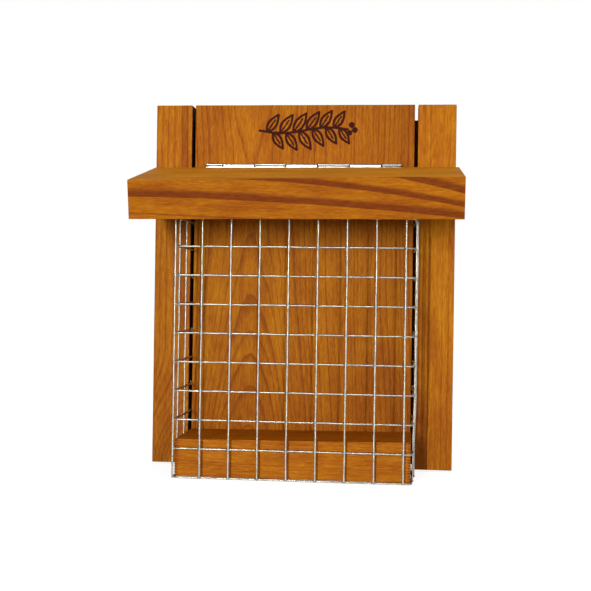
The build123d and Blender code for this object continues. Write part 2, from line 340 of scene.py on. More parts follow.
def right_stile_figure(g, x, y, z, warp):
    """Nearly radial board: straight stripes, close and dark at the inner edge, and painted shadow of the
    block near the foot.
    """
    across = g.add(g.sub(x, 60.0), g.mul(warp, 3.0))
    depth = g.add(y, 12.0)
    rings = g.mul(ring_darkness(g, tree_rings(g, across, depth, 3.4, 1.0, 23.0), 0.5), 0.25)
    lines = upright_lines(
        g, g.add(x, g.mul(warp, 0.9)),
        ((108.6, 1.5, 0.5), (113.6, 2.2, 0.55), (118.9, 1.8, 0.95), (126.6, 1.3, 0.25), (131.5, 1.5, 0.5),
         (137.2, 1.6, 0.45)),
    )
    # Painted light: the stripes are weakened high up, where light reaches the board past the lid's end.
    lines = g.mul(lines, g.blend(g.step(200.0, 90.0, z), 0.60, 1.0))
    # Painted shadow: the block's shadow darkens the strip beside the inner edge near the foot.
    foot = g.mul(g.mul(g.step(119.0, 117.5, x), g.step(105.0, 45.0, z)), 0.85)
    return g.math("MAXIMUM", g.math("MAXIMUM", rings, lines), foot)


def batten_figure(g, x, y, z, warp):
    """Plain slanting lines."""
    across = g.add(x, g.mul(warp, 6.0))
    depth = g.add(g.sub(60.0, y), g.mul(z, 0.06))
    return ring_darkness(g, tree_rings(g, across, depth, 4.6, 1.0, 31.0), 0.6)


BLOCK_LOW, BLOCK_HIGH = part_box("floor_block")
TOOTH_PITCH = 2.35


def block_figure(g, x, y, z, warp):
    """Grain along X: fine, nearly level lines on the front, and painted shade in the saw notches along the
    rough ends.
    """
    across = g.add(g.add(z, 62.0), g.add(g.mul(warp, 5.0), g.mul(x, 0.02)))
    depth = g.add(y, 96.0)
    rings = g.mul(ring_darkness(g, tree_rings(g, across, depth, 3.0, 0.9, 41.0), 0.55), 0.5)
    inset = g.sub(0.5 * (BLOCK_HIGH.x - BLOCK_LOW.x) / MM, g.math("ABSOLUTE", g.add(x, 0.3)))
    ragged = g.signed_noise(g.vector(g.mul(x, 0.2), g.mul(y, 0.1), g.mul(z, 0.6)), 1.0)
    tooth = g.math("PINGPONG", g.add(g.mul(z, 1.0 / TOOTH_PITCH), g.mul(ragged, 0.25)), 0.5)
    # Painted shade in the saw notches along the block's rough ends.
    saw_shade = g.mul(g.step(0.14, 0.30, tooth), g.step(3.6, 1.8, g.add(inset, ragged)))
    return g.math("MAXIMUM", rings, saw_shade)


LID_LOW, LID_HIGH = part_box("roof_lid")
LID_SLOPE = math.radians(11.87)
LID_THICKNESS = 35.0
LID_TOP_FRONT = Vector((0.0, (LID_LOW.y - BENCH.y) / MM, 259.9))
LID_RUN = ((LID_HIGH.y - BENCH.y) / MM - LID_TOP_FRONT.y) / math.cos(LID_SLOPE)

# Latewood bands on the lid's front edge. The first three numbers give a band's lower edge, a + b x + c x^2
# below the front's top edge, and the others its width and its darkness.
LID_BANDS = (
    (-17.0, 0.150, 0.00040, 9.0, 1.0),
    (3.2, 0.085, 0.00045, 6.5, 1.0),
    (20.9, 0.068, 0.00018, 8.0, 1.0),
    (27.0, 0.060, 0.00015, 1.0, 0.22),
    (36.2, 0.047, 0.0, 1.5, 0.55),
    (43.0, 0.047, 0.0, 1.5, 0.25),
)
SWEEP_BEND = 0.0003
SWEEP_START = -92.0
LID_SKEW = 0.0133
GRAIN_DIP = 2.6
TOP_SKEW = 0.06
TOP_LINE_SPACING = 8.5


def band(g, value, lower, width, soft=0.45):
    """1 within width above the lower edge, fading in softly from above and ending sharply at the edge."""
    rise = g.step(g.sub(lower, width), g.sub(lower, soft * width), value)
    return g.mul(rise, g.step(g.add(lower, 0.7), lower, value))


def lid_figure(g, x, y, z, warp):
    """Bands, level at the left, that sweep down to the right. The top has close straight lines."""
    level, steep = math.cos(LID_SLOPE), math.sin(LID_SLOPE)
    behind, above = LID_TOP_FRONT.y, LID_TOP_FRONT.z
    run = g.add(g.mul(g.sub(y, behind), level), g.mul(g.sub(z, above), steep))
    drop = g.sub(g.mul(g.sub(y, behind), steep), g.mul(g.sub(z, above), level))
    ragged = g.signed_noise(g.vector(g.mul(x, 0.05), g.mul(y, 0.8), g.mul(z, 0.8)), 1.0, 3.0)
    flow = g.add(g.add(drop, g.mul(x, LID_SKEW)), g.add(g.mul(warp, 0.7), g.mul(ragged, 0.5)))
    flow = g.sub(flow, g.mul(run, GRAIN_DIP))
    swept = g.math("MAXIMUM", x, SWEEP_START)
    dark = 0.0
    for start, slope, bend, width, strength in LID_BANDS:
        along = swept if bend > SWEEP_BEND else x
        edge = g.add(start, g.mul(along, g.add(g.mul(along, bend), slope)))
        dark = g.math("MAXIMUM", dark, g.mul(band(g, flow, edge, width), strength))
    deep = g.step(-12.0, -30.0, g.sub(flow, g.mul(x, TOP_SKEW)))
    fine = ring_darkness(g, g.mul(g.sub(flow, g.mul(x, TOP_SKEW)), 1.0 / TOP_LINE_SPACING), 0.5, 0.94)
    return g.add(dark, g.mul(g.mul(fine, deep), 0.40))


# ---- metal ------------------------------------------------------------------------------------------------

def zinc(name, base, dull, roughness, speckle, spangle=0.0):
    """Zinc coating: cloudy patches, fine pits and, when hot-dipped, crystal facets."""
    g = Graph(name)
    position = bench_position(g)
    cloud = g.noise(position, 0.16, 3.0, 0.6)
    fine = g.noise(position, 1.6, 2.0, 0.65)
    colour = g.mix(g.step(0.35, 0.70, cloud), base, dull)
    colour = g.mix(g.mul(g.step(0.56, 0.72, fine), speckle), colour, tuple(0.45 * c for c in dull))
    rough = g.blend(cloud, roughness - 0.08, roughness + 0.12)
    if spangle:
        cells = g.node("ShaderNodeTexVoronoi", {"Vector": position, "Scale": 0.9})
        facet = g.axes(cells.outputs["Color"])[0]
        colour = g.mix(g.mul(facet, spangle), colour, (0.95, 0.96, 0.98))
        rough = g.add(rough, g.mul(g.sub(facet, 0.5), 0.16))
    g.bump(fine, 0.25, 0.0001)
    return g.finish(Base_Color=colour, Roughness=rough, Metallic=1.0)


# ---- mesh helpers -----------------------------------------------------------------------------------------

def new_object(name, bm, material, body, replaced, smooth_shading=True):
    """A piece made from a bmesh, which is freed, riding on a body and standing for the replaced nodes."""
    mesh = bpy.data.meshes.new(name)
    bm.to_mesh(mesh)
    bm.free()
    if smooth_shading:
        for polygon in mesh.polygons:
            polygon.use_smooth = True
    piece = bpy.data.objects.new(name, mesh)
    bpy.context.scene.collection.objects.link(piece)
    mesh.materials.append(material)
    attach(piece, body)
    if replaced:
        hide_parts(*replaced)
    return piece


RIM = (0.0, 0.25, 0.55, 0.85, 1.15)


def ticks(low, high, radius, spacing, dense=()):
    """Grid lines from low to high: close together at both edges and in dense spans, even elsewhere."""
    inner_low, inner_high = low + RIM[-1] * radius, high - RIM[-1] * radius
    marks = [low + radius * r for r in RIM] + [high - radius * r for r in RIM]
    count = max(1, round((inner_high - inner_low) / spacing))
    marks += [inner_low + (inner_high - inner_low) * i / count for i in range(1, count)]
    for start, end, step in dense:
        marks = [m for m in marks if not start < m < end]
        n = max(1, round((end - start) / step))
        marks += [start + (end - start) * i / n for i in range(n + 1)]
    return sorted(set(round(m, 5) for m in marks))


def grid_box(xs, ys, zs):
    """The six faces of a box as one closed mesh of quads on the given grid lines."""
    bm = bmesh.new()
    made = {}

    def vertex(i, j, k):
        key = (i, j, k)
        if key not in made:
            made[key] = bm.verts.new((xs[i], ys[j], zs[k]))
        return made[key]

    def sheet(count_a, count_b, corner, flip):
        for a in range(count_a):
            for b in range(count_b):
                quad = [corner(a, b), corner(a + 1, b), corner(a + 1, b + 1), corner(a, b + 1)]
                bm.faces.new([vertex(*c) for c in (quad[::-1] if flip else quad)])

    nx, ny, nz = len(xs) - 1, len(ys) - 1, len(zs) - 1
    sheet(nx, ny, lambda a, b: (a, b, 0), True)
    sheet(nx, ny, lambda a, b: (a, b, nz), False)
    sheet(nx, nz, lambda a, b: (a, 0, b), False)
    sheet(nx, nz, lambda a, b: (a, ny, b), True)
    sheet(ny, nz, lambda a, b: (0, a, b), True)
    sheet(ny, nz, lambda a, b: (nx, a, b), False)
    return bm


def round_edges(bm, low, high, radius_at):
    """Rounds a box's edges by the radius that radius_at gives, in the same units as the mesh."""
    for vertex in bm.verts:
        p = vertex.co
        r = radius_at(p)
        core = Vector(tuple(min(max(p[i], low[i] + r), high[i] - r) for i in range(3)))
        off = p - core
        if off.length > 1e-9:
            reach = [abs(off[i]) for i in range(3) if abs(off[i]) > 1e-9]
            if len(reach) > 1:
                vertex.co = core + off.normalized() * r


WEAR = 1.15
RELIEF = 0.10
NEAR_FACE = 0.4


def worn(seed, base, extra=0.85):
    """Edge radius in bench millimetres that wanders along the edges, with a few knocks."""
    def radius_at(p):
        slow = noise.noise(Vector((p.x, p.y, p.z)) / 38.0 + Vector((seed, 0, 0)))
        quick = noise.noise(Vector((p.x, p.y, p.z)) / 7.0 + Vector((0, seed, 0)))
        return min(WEAR, base * (1.0 + 0.35 * slow + extra * 0.25 * max(0.0, quick)))
    return radius_at


def inward_at(p, low, high):
    """The sum of the inward normals of the box faces that a point lies on."""
    middle = (low + high) / 2
    inward = Vector()
    for i in range(3):
        face = high[i] if p[i] > middle[i] else low[i]
        if abs(p[i] - face) < NEAR_FACE:
            inward[i] = math.copysign(1.0, middle[i] - p[i])
    return inward


def board(name, node, material, grain, seed, spacing=5.0, dense=None, shape=None, wear=0.75):
    """A planed board in place of a CAD box, with worn edges and slightly rippled faces."""
    low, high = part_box(node)
    low, high = (low - BENCH) / MM, (high - BENCH) / MM
    dense = dense or {}
    xs, ys, zs = (ticks(low[i], high[i], WEAR, spacing, dense.get("xyz"[i], ())) for i in range(3))
    bm = grid_box(xs, ys, zs)
    round_edges(bm, low, high, worn(seed, wear))
    stretch = (26, 26, 90) if grain == "Z" else (90, 26, 26)
    for vertex in bm.verts:
        p = vertex.co
        stretched = Vector(tuple(p[i] / stretch[i] for i in range(3)))
        dip = 0.5 + 0.5 * noise.noise(stretched + Vector((seed, seed, 0)))
        vertex.co = p + inward_at(p, low, high) * RELIEF * dip
    if shape:
        shape(bm, low, high)
    for vertex in bm.verts:
        vertex.co = BENCH + vertex.co * MM
    return new_object(name, bm, material, "feeder", [node])


def tube(bm, path, radius_at, sides=12):
    """A round wire along a list of points, closed at both ends by low cones."""
    rings = []
    normal = None
    for i, point in enumerate(path):
        ahead = path[min(i + 1, len(path) - 1)] - path[max(i - 1, 0)]
        ahead.normalize()
        if normal is None:
            normal = ahead.orthogonal().normalized()
        normal = (normal - ahead * normal.dot(ahead)).normalized()
        side = ahead.cross(normal)
        r = radius_at(i, point)
        rings.append([
            bm.verts.new(point + (normal * math.cos(2 * math.pi * k / sides)
                                  + side * math.sin(2 * math.pi * k / sides)) * r)
            for k in range(sides)
        ])
    for a, b in zip(rings, rings[1:]):
        for k in range(sides):
            bm.faces.new((a[k], a[(k + 1) % sides], b[(k + 1) % sides], b[k]))
    for ring, inner, sign in ((rings[0], path[1], -1), (rings[-1], path[-2], 1)):
        end = path[0] if sign < 0 else path[-1]
        out = (end - inner).normalized()
        tip = bm.verts.new(end + out * radius_at(0, end) * 0.25)
        for k in range(sides):
            pair = (ring[k], ring[(k + 1) % sides])
            bm.faces.new((tip, *(pair[::-1] if sign < 0 else pair)))


# ---- boards -----------------------------------------------------------------------------------------------

SPRIG_CENTRE = Vector((0.5, 317.0))
SPRIG_HALF = 41.0
SPRIG_MARGIN = 24.0
LEAVES = 6
LEAF_PITCH = 12.6
STROKE = 0.85
OUTSIDE = -5.0
BERRIES = (
    (SPRIG_HALF + 3.0, 5.0, 2.5),
    (SPRIG_HALF + 1.0, -2.4, 2.3),
    (SPRIG_HALF + 6.0, 0.2, 2.4),
)


def stem_height(u):
    """The twig's gentle waves."""
    return 2.6 * math.sin(u / 14.0)


def leaf_stroke(u, v, root, angle, length, width):
    """How far inside a burnt stroke a point lies (mm): a leaf's outline and its midrib, from its root."""
    du, dv = u - root[0], v - root[1]
    a = du * math.cos(angle) + dv * math.sin(angle)
    b = -du * math.sin(angle) + dv * math.cos(angle)
    if a <= -1.0 or a >= length + 1.0:
        return OUTSIDE
    t = min(1.0, max(0.0, a / length))
    half = 0.5 * width * math.sin(math.pi * t ** 0.85)
    overshoot = max(0.0, a - length, -a)
    outline = STROKE - math.hypot(abs(b) - half, overshoot)
    midrib = 0.55 * STROKE - abs(b) if t < 0.72 else OUTSIDE
    return max(outline, midrib)


def sprig(u, v):
    """Burnt mark: a twig with paired leaves and a few berries. Positive inside its strokes."""
    best = OUTSIDE
    if -SPRIG_HALF - 3.0 < u < SPRIG_HALF:
        best = STROKE - abs(v - stem_height(u))
    for i in range(LEAVES):
        base = -SPRIG_HALF + 5.0 + i * LEAF_PITCH
        size = 1.0 - 0.05 * abs(i - 2)
        best = max(best, leaf_stroke(u, v, (base, stem_height(base)), 0.98, 21.5 * size, 8.4 * size))
        base += 5.5
        best = max(best, leaf_stroke(u, v, (base, stem_height(base)), -1.0, 20.0 * size, 8.0 * size))
    for cu, cv, r in BERRIES:
        best = max(best, r - math.hypot(u - cu, v - cv))
    return best


def burn_sprig(bm, low, high):
    """Sinks the mark slightly into the board's front and records how burnt each point is."""
    layer = bm.verts.layers.float.new("burnt")
    for vertex in bm.verts:
        p = vertex.co
        if p.y > low.y + 1.0:
            continue
        u, v = p.x - SPRIG_CENTRE.x, p.z - SPRIG_CENTRE.y
        if abs(u) > SPRIG_HALF + 9.5 or abs(v) > SPRIG_MARGIN - 1.0:
            continue
        inside = sprig(u, v) + 0.28 * noise.noise(Vector((u, v, 0.0)) / 1.7)
        vertex[layer] = smooth(-0.9, 0.4, inside)
        p.y += 0.22 * smooth(-0.1, 0.6, inside)


BLOCK_LEAN_LEFT = 0.75
BLOCK_LEAN_RIGHT = 1.0
LEAN_REACH = 8.0
SAW_DEPTH = 0.5
SAW_REACH = 1.6
BLOCK_HALF_WIDTH = 103.0
BLOCK_HALF_HEIGHT = 17.0
TOP_RISE = 1.1


def saw_mark(p, edge):
    """The saw's notch at a point on the block's end, 0 to 1, and how hard the saw has bitten there."""
    tooth = (p.z + 1.3 * noise.noise(Vector((p.y / 30.0, p.z / 12.0, edge)))) / TOOTH_PITCH
    notch = abs(2.0 * (tooth - math.floor(tooth)) - 1.0)
    rough = 0.65 + 0.35 * noise.noise(Vector((p.y / 9.0, p.z / 2.0, edge)))
    return notch, rough


def block_ends(bm, low, high):
    """Coarse saw marks across the block's two ends, and a top that rises slightly to the right.

    The left end stands out a little all along, and the right end more and more towards the back.
    """
    for vertex in bm.verts:
        p = vertex.co
        for edge, sign in ((low.x, 1.0), (high.x, -1.0)):
            near = abs(p.x - edge)
            if near < SAW_REACH:
                notch, rough = saw_mark(p, edge)
                p.x += sign * SAW_DEPTH * notch * rough * (1.0 - near / SAW_REACH)
        p.x -= BLOCK_LEAN_LEFT * smooth(low.x + LEAN_REACH, low.x, p.x)
        p.x += BLOCK_LEAN_RIGHT * smooth(high.x - LEAN_REACH, high.x, p.x) * (p.y - low.y) / (high.y - low.y)
        if p.z > BLOCK_HALF_HEIGHT:
            p.z += TOP_RISE * p.x / BLOCK_HALF_WIDTH * (p.z - BLOCK_HALF_HEIGHT) / BLOCK_HALF_HEIGHT


def build_centre_board():
    material = wood(
        "centre_board_wood", "Z", centre_board_figure, 1.0, "Z", char=True, painted_gap_shade=0.75, pale=0.35,
        late_strength=0.72,
        # Painted shade ramps: darker to the right, towards the foot and towards the top.
        painted_shade_ramps=(("X", 10.0, 95.0, 0.40), ("Z", 150.0, 30.0, 0.45), ("Z", 265.0, 300.0, 0.25)),
    )
    dense = {
        "x": ((SPRIG_CENTRE.x - SPRIG_HALF - 8, SPRIG_CENTRE.x + SPRIG_HALF + 10, 0.42),),
        "z": ((SPRIG_CENTRE.y - SPRIG_MARGIN, SPRIG_CENTRE.y + 22.4, 0.42),),
    }
    board("centre_board", "centre_back_board", material, "Z", 3.0, dense=dense,
          shape=burn_sprig)


def build_side_boards():
    # Each side board gets a ramp of painted shade, darker towards the foot.
    for side, figure, seed, painted_gap_shade, fade in (
        ("left", left_stile_figure, 2.0, 0.9, ("Z", 180.0, 20.0, 0.35)),
        ("right", right_stile_figure, 3.0, 0.75, ("Z", 120.0, 10.0, 0.25)),
    ):
        material = wood(f"{side}_stile_wood", "Z", figure, seed, "Z", painted_gap_shade=painted_gap_shade, painted_shade_ramps=(fade,))
        board(f"{side}_stile_board", f"{side}_stile", material, "Z", 1.0 + 2.0 * seed)


def build_battens():
    for side, seed in (("left", 4.0), ("right", 5.0)):
        material = wood(f"batten_{side}_wood", "Z", batten_figure, seed, "Z")
        board(f"batten_{side}", f"rear_batten_{side}", material, "Z", 5.0 + seed)


def build_block():
    material = wood("block_wood", "X", block_figure, 6.0, "X", late_strength=0.84, tone=(0.93, 0.87, 0.85))
    board("block", "floor_block", material, "X", 11.0, spacing=4.0,
          dense={"z": ((2.0, 32.0, 0.4),)}, shape=block_ends, wear=0.45)


LID_HALF_WIDTH = 143.0
LID_LIFT = 1.9
LIFT_LOST_BELOW = 1.0
LIFT_LOST_BEHIND = 0.7
LID_RIPPLE = 0.12


def build_lid():
    """The lid is shaped square in its own run, drop and width, then leant to its slope.

    It is a little skewed: its right side lies higher and its left side lower, most of all along the front.
    """
    left, right = (LID_LOW.x - BENCH.x) / MM, (LID_HIGH.x - BENCH.x) / MM
    low, high = Vector((left, 0.0, 0.0)), Vector((right, LID_RUN, LID_THICKNESS))
    bm = grid_box(
        ticks(low.x, high.x, WEAR, 4.0), ticks(low.y, high.y, WEAR, 4.0), ticks(low.z, high.z, WEAR, 3.0)
    )
    round_edges(bm, low, high, worn(13.0, 0.6, 1.2))
    shortening = LID_THICKNESS * math.tan(LID_SLOPE)
    for vertex in bm.verts:
        x, run, drop = vertex.co
        ripple = noise.noise(Vector((x / 80.0, run / 24.0, drop / 24.0)))
        tilt = x / LID_HALF_WIDTH
        run = run * (1.0 - shortening * (drop / LID_THICKNESS) / LID_RUN)
        lift = LID_LIFT - LIFT_LOST_BELOW * drop / LID_THICKNESS
        lift = tilt * lift * (1.0 - LIFT_LOST_BEHIND * run / LID_RUN)
        y = LID_TOP_FRONT.y + run * math.cos(LID_SLOPE) + drop * math.sin(LID_SLOPE)
        z = LID_TOP_FRONT.z + run * math.sin(LID_SLOPE) - drop * math.cos(LID_SLOPE)
        vertex.co = bench(x, y, z + lift + LID_RIPPLE * ripple)
    bmesh.ops.reverse_faces(bm, faces=bm.faces)
    material = wood("lid_wood", "X", lid_figure, 7.0, "X", ring_bump=1.5, late_strength=0.86, pale=0.45,
                    tone=(0.92, 0.86, 0.9), crown=0.6)
    new_object("lid_board", bm, material, "lid", ["roof_lid"])


# ---- cage -------------------------------------------------------------------------------------------------

WIRE = 0.9 * MM
HOOPS = 10
FRONT_UPRIGHTS = 8
WELD = 1.5 * MM
BEND = 4.0 * MM
BEND_STEPS = 8
LEAN = 1.3 * MM
LEFT_TOE = 0.55 * MM
RIGHT_TOE = 0.15 * MM
RIGHT_SPREAD = 0.008
FOOT_SQUEEZE = 1.1 * MM
HOOP_SHARE = 0.8
FOOT_RISE = 0.5 * MM
LOWEST_HANG = 0.3
HOOPS_LOW, HOOPS_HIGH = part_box("cage_hoops")
FRONT_LOW, FRONT_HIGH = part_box("cage_front_uprights")
FRONT_Y = (FRONT_LOW.y + FRONT_HIGH.y) / 2
RIGHTWARD, BACKWARD, UPWARD = Vector((1, 0, 0)), Vector((0, 1, 0)), Vector((0, 0, 1))


def evenly(node, axis, count):
    """Centres of equal wires that fill a node's box along an axis."""
    low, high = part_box(node)
    first, last = low[axis] + WIRE, high[axis] - WIRE
    return [first + (last - first) * i / (count - 1) for i in range(count)]


def wobbled(points, seed, amount):
    """The points of a wire, each pushed a little sideways so that the wire isn't dead straight."""
    moved = []
    for p in points:
        shift = Vector(tuple(wander(p.x, p.y, p.z, 0.021, seed + axis) for axis in range(3)))
        moved.append(p + shift * amount)
    return moved


def straight(start, end, step=1.5 * MM):
    """Evenly spaced points from start to end, both included."""
    count = max(2, math.ceil((end - start).length / step))
    return [start.lerp(end, i / count) for i in range(count + 1)]


def pinch(y):
    """How far the cage's sides lean to the right at a depth, between the front bends and the gaps behind."""
    bench_y = (y - BENCH.y) / MM
    return LEAN * smooth(-72.0, -34.0, bench_y) * (1.0 - smooth(-20.0, -2.0, bench_y))


def near_foot(z):
    """1 at the cage's foot, falling to 0 above the block."""
    return 1.0 - smooth(24.0, 75.0, (z - BENCH.z) / MM)


def quarter_turn(centre, start):
    """Points of a front bend, anticlockwise from the start angle."""
    for i in range(BEND_STEPS + 1):
        a = start + 0.5 * math.pi * i / BEND_STEPS
        yield centre + Vector((math.cos(a), math.sin(a), 0)) * BEND


def hoop_path(z):
    """One horizontal wire, from the left gap round the front to the right gap."""
    left_back, right_back = HOOPS_LOW.x + WIRE, HOOPS_HIGH.x - WIRE
    left_front, right_front = left_back + LEFT_TOE, right_back - RIGHT_TOE
    front, tuck = FRONT_Y + WELD, HOOPS_HIGH.y
    path = [
        p + Vector((pinch(p.y), 0, 0))
        for p in straight(Vector((left_back, tuck, z)), Vector((left_front, front + BEND, z)))[:-1]
    ]
    path += quarter_turn(Vector((left_front + BEND, front + BEND, z)), math.pi)
    path += straight(path[-1], Vector((right_front - BEND, front, z)))[1:-1]
    path += quarter_turn(Vector((right_front - BEND, front + BEND, z)), 1.5 * math.pi)
    squeeze = HOOP_SHARE * FOOT_SQUEEZE * near_foot(z)
    path += [
        p + Vector((pinch(p.y) - squeeze * smooth(-78.0, -62.0, (p.y - BENCH.y) / MM), 0, 0))
        for p in straight(path[-1], Vector((right_back, tuck, z)))[1:]
    ]
    return path


def coat(seed):
    """Radius of a dipped wire: the zinc lies a little unevenly."""
    def radius_at(_, p):
        return WIRE * (1.0 + 0.05 * wander(p.x, p.y, p.z, 0.0035, seed))
    return radius_at


def weld_bead(bm, centre, across, out, seed, hang):
    """Zinc that has gathered where two wires cross: a small four-armed bead. hang scales its lower half."""
    sphere = bmesh.ops.create_icosphere(bm, subdivisions=3, radius=1.0)
    size = 1.0 + 0.18 * wander(*centre, 0.011, seed)
    for vertex in sphere["verts"]:
        d = vertex.co.normalized()
        arms = max(abs(d.x), abs(d.z)) ** 6
        reach = (1.15 + 0.95 * arms) * size * MM
        lump = 1.0 + 0.10 * noise.noise(d * 2.3 + centre * 400.0)
        height = d.z * reach * 1.1 - 0.28 * MM * max(0.0, -d.z)
        height *= hang if d.z < 0.0 else 1.0
        local = across * (d.x * reach) + UPWARD * height + out * (d.y * 1.02 * MM * size)
        vertex.co = centre + local * lump


def upright_places():
    """Where each node's upright wires stand in plan."""
    left_low, left_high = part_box("cage_left_uprights")
    right_low, right_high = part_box("cage_right_uprights")
    corner_low, corner_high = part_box("cage_corner_upright")
    return {
        "cage_front_uprights": [
            Vector((x, FRONT_Y, 0)) for x in evenly("cage_front_uprights", 0, FRONT_UPRIGHTS)
        ],
        "cage_corner_upright": [(corner_low + corner_high) / 2],
        "cage_left_uprights": [
            Vector(((left_low.x + left_high.x) / 2 + pinch(y), y, 0))
            for y in (left_low.y + WIRE, left_high.y - WIRE)
        ],
        "cage_right_uprights": [
            Vector(((right_low.x + right_high.x) / 2 + pinch(y) + RIGHT_SPREAD * (y - right_low.y), y, 0))
            for y in (right_low.y + WIRE, (right_low.y + right_high.y) / 2, right_high.y - WIRE)
        ],
    }


def build_hoops(material, heights):
    bm = bmesh.new()
    for j, z in enumerate(heights):
        tube(bm, wobbled(hoop_path(z), 3.0 + j, 0.22 * MM), coat(j))
    new_object("mesh_hoops", bm, material, "feeder", ["cage_hoops"])


def build_uprights(material, places):
    bottom, top = FRONT_LOW.z + FOOT_RISE, FRONT_HIGH.z
    seed = 50
    for node, stands in places.items():
        bm = bmesh.new()
        for place in stands:
            seed += 1
            path = straight(Vector((place.x, place.y, bottom)), Vector((place.x, place.y, top)))
            if node == "cage_right_uprights":
                path = [p - Vector((FOOT_SQUEEZE * near_foot(p.z), 0, 0)) for p in path]
            tube(bm, wobbled(path, float(seed), 0.26 * MM), coat(seed))
        new_object(f"mesh_{node[5:]}", bm, material, "feeder", [node])


def build_welds(material, heights, places):
    """A bead at each crossing, on the inner side of the uprights, where the hoops run."""
    sides = (
        ("cage_left_uprights", RIGHTWARD),
        ("cage_right_uprights", -RIGHTWARD),
        ("cage_corner_upright", Vector((0.7, 0.7, 0))),
    )
    bm = bmesh.new()
    for j, z in enumerate(heights):
        hang = 1.0 if j else LOWEST_HANG
        for i, place in enumerate(places["cage_front_uprights"]):
            centre = Vector((place.x, FRONT_Y + 0.55 * WELD, z))
            weld_bead(bm, centre, RIGHTWARD, BACKWARD, i + 10.0 * j, hang)
        for node, inward in sides:
            along = Vector((-inward.y, inward.x, 0))
            for place in places[node]:
                centre = Vector((place.x, place.y, z)) + inward * 0.55 * WELD
                weld_bead(bm, centre, along, inward, place.y * 900.0 + j, hang)
    new_object("mesh_weld_zinc", bm, material, "feeder", [])


def build_cage():
    galvanised = zinc("galvanised_wire", (0.35, 0.325, 0.255), (0.23, 0.21, 0.165), 0.38, 0.40, 0.16)
    heights = evenly("cage_hoops", 2, HOOPS)
    places = upright_places()
    build_hoops(galvanised, heights)
    build_uprights(galvanised, places)
    build_welds(galvanised, heights, places)


# ---- hinge and other metal --------------------------------------------------------------------------------

KNUCKLE_ENDS = (-93.0, -77.0, -47.0, -17.0, 13.0, 43.0, 73.0, 92.0)
KNUCKLE_GAP = 0.62
BARREL = 1.40
SHEET = 0.65
NECK = 0.9
ROOT = 0.3
LID_LEAF_DROP = 0.35
CHAMFER = 0.13
CHAMFER_RUN = 0.14
ROLL_STEPS = 30
ROLL_END = math.radians(322)


def knuckle(bm, start, end, side, axis_y, axis_z, foot_z):
    """A tab of the leaf rolled round the pin, with the seam left open below.

    side is 1 for the leaf behind the pin and -1 for the one in front.
    """
    stations = [(start, -CHAMFER), (start + CHAMFER_RUN, 0.0)]
    count = max(2, round((end - start) / 2.5))
    stations += [(start + (end - start) * i / count, 0.0) for i in range(1, count)]
    stations += [(end - CHAMFER_RUN, 0.0), (end, -CHAMFER)]
    loops = []
    for x, shrink in stations:
        outer_r = BARREL + shrink + 0.035 * noise.noise(Vector((x / 4.0, side, 0.0)))
        inner_r = BARREL - SHEET - 0.4 * shrink
        loop = [(axis_y + side * outer_r, foot_z)]
        for radius, turns in ((outer_r, range(ROLL_STEPS + 1)), (inner_r, range(ROLL_STEPS, -1, -1))):
            for k in turns:
                a = ROLL_END * k / ROLL_STEPS
                loop.append((axis_y + side * radius * math.cos(a), axis_z + radius * math.sin(a)))
        loop.append((axis_y + side * inner_r, foot_z))
        loops.append([bm.verts.new(bench(x, y, z)) for y, z in loop])
    count = len(loops[0])
    for a, b in zip(loops, loops[1:]):
        for k in range(count):
            bm.faces.new((a[k], a[(k + 1) % count], b[(k + 1) % count], b[k]))
    for loop in (loops[0], loops[-1]):
        for k in range(count // 2 - 1):
            bm.faces.new((loop[k], loop[k + 1], loop[count - 2 - k], loop[count - 1 - k]))


def build_hinge(finish):
    """Both leaves. The flat plates with their holes come from the CAD; the knuckles are rolled anew."""
    pin_low, pin_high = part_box("hinge_pin")
    axis_y = ((pin_low.y + pin_high.y) / 2 - BENCH.y) / MM
    axis_z = ((pin_low.z + pin_high.z) / 2 - BENCH.z) / MM
    plate_top = axis_z - BARREL - NECK
    for node, body, side, first, drop in (
        ("hinge_fixed_leaf", "feeder", 1, 0, 0.0), ("hinge_lid_leaf", "lid", -1, 1, LID_LEAF_DROP)
    ):
        bm = bmesh.new()
        bm.from_mesh(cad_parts[node].data)
        whole = bm.verts[:] + bm.edges[:] + bm.faces[:]
        cut = bmesh.ops.bisect_plane(
            bm, geom=whole, plane_co=bench(0, 0, plate_top), plane_no=(0, 0, 1), clear_outer=True
        )
        rim = [e for e in cut["geom_cut"] if isinstance(e, bmesh.types.BMEdge)]
        bmesh.ops.edgeloop_fill(bm, edges=rim)
        for i in range(first, len(KNUCKLE_ENDS) - 1, 2):
            knuckle(bm, KNUCKLE_ENDS[i] + KNUCKLE_GAP, KNUCKLE_ENDS[i + 1] - KNUCKLE_GAP, side, axis_y,
                    axis_z - drop, plate_top - ROOT)
        bmesh.ops.recalc_face_normals(bm, faces=bm.faces)
        piece = new_object(f"{node}_rolled", bm, finish, body, [node], smooth_shading=False)
        sharp_below(piece, 40.0)


def sharp_below(piece, degrees):
    """Smooth shading across the edges that turn by less than the angle, and sharp edges elsewhere."""
    bm = bmesh.new()
    bm.from_mesh(piece.data)
    for face in bm.faces:
        face.smooth = True
    for edge in bm.edges:
        edge.smooth = len(edge.link_faces) == 2 and edge.calc_face_angle(0.0) < math.radians(degrees)
    bm.to_mesh(piece.data)
    bm.free()


